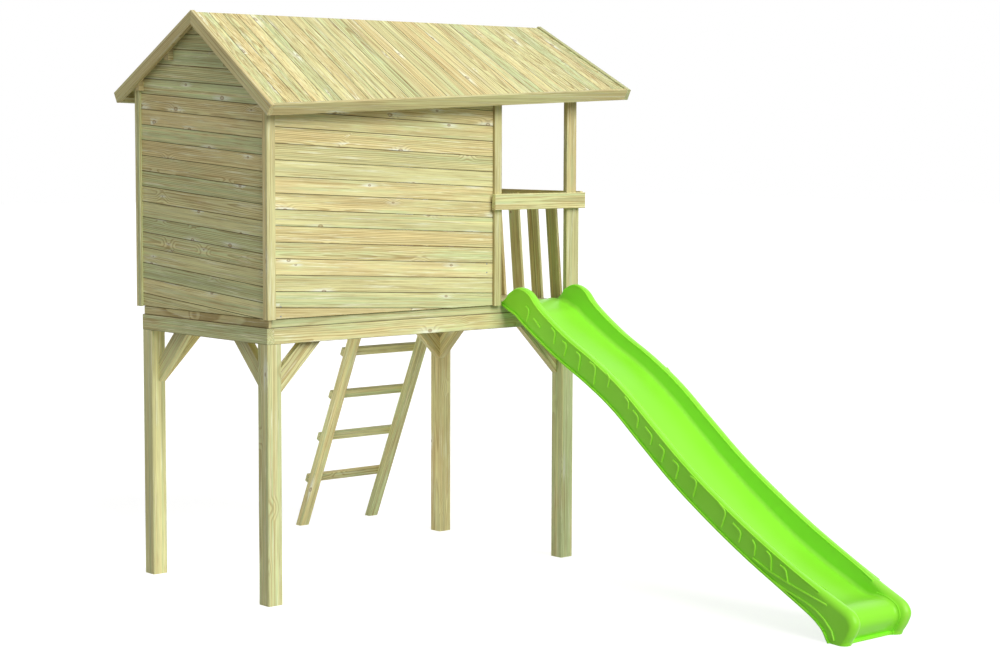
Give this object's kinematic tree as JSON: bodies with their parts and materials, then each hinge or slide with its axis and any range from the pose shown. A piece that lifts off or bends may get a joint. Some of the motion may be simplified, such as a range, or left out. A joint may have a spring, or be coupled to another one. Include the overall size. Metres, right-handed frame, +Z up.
{
  "type": "stilt playhouse",
  "caption": "Slanted timber playhouse on square stilts with a twisted gable roof, railed terrace, back ladder and moulded wave slide.",
  "frame": {"origin": "centre of the front left leg's foot, on the ground", "axes": "+Z up, +X along the platform from the cabin to the terrace, +Y from the slide side to the ladder side"},
  "size_m": [2.529, 4.5263, 3.148],
  "materials": {
    "treated_pine": "planed, unpainted",
    "slide_plastic": "moulded",
    "zinc_steel": "zinc plated"
  },
  "bodies": {
    "root": {"leg_front_left": "treated_pine", "leg_front_right": "treated_pine", "leg_back_left": "treated_pine", "leg_back_right": "treated_pine", "rim_left": "treated_pine", "rim_right": "treated_pine", "rim_front": "treated_pine", "rim_back": "treated_pine", "floor_joists": "treated_pine", "floor_battens": "treated_pine", "deck_boards": "treated_pine", "floor_strips_end": "treated_pine", "floor_strips_long": "treated_pine", "braces_front": "treated_pine", "braces_back": "treated_pine", "braces_left": "treated_pine", "braces_right": "treated_pine", "cladding_front": "treated_pine", "cladding_back": "treated_pine", "cladding_left": "treated_pine", "cladding_right": "treated_pine", "frame_front": "treated_pine", "frame_back": "treated_pine", "frame_left": "treated_pine", "frame_right": "treated_pine", "corner_trims_front": "treated_pine", "corner_trims_back": "treated_pine", "corner_trims_left": "treated_pine", "corner_trims_right": "treated_pine", "ridge_beam": "treated_pine", "crossbar": "treated_pine", "end_rail": "treated_pine", "end_slats": "treated_pine", "ladder_rail_left": "treated_pine", "ladder_rail_right": "treated_pine", "ladder_rungs": "treated_pine", "wall_plate_front": "treated_pine", "purlin_front": "treated_pine", "roof_boards_front": "treated_pine", "fascia_front": "treated_pine", "eave_batten_front": "treated_pine", "barge_front_left": "treated_pine", "barge_front_right": "treated_pine", "terrace_post_lower_front": "treated_pine", "terrace_post_upper_front": "treated_pine", "wall_plate_back": "treated_pine", "purlin_back": "treated_pine", "roof_boards_back": "treated_pine", "fascia_back": "treated_pine", "eave_batten_back": "treated_pine", "barge_back_left": "treated_pine", "barge_back_right": "treated_pine", "terrace_post_lower_back": "treated_pine", "terrace_post_upper_back": "treated_pine", "slide": "slide_plastic", "brace_bolts": "zinc_steel", "post_bolts": "zinc_steel", "rim_bolts": "zinc_steel"}
  },
  "joints": []
}
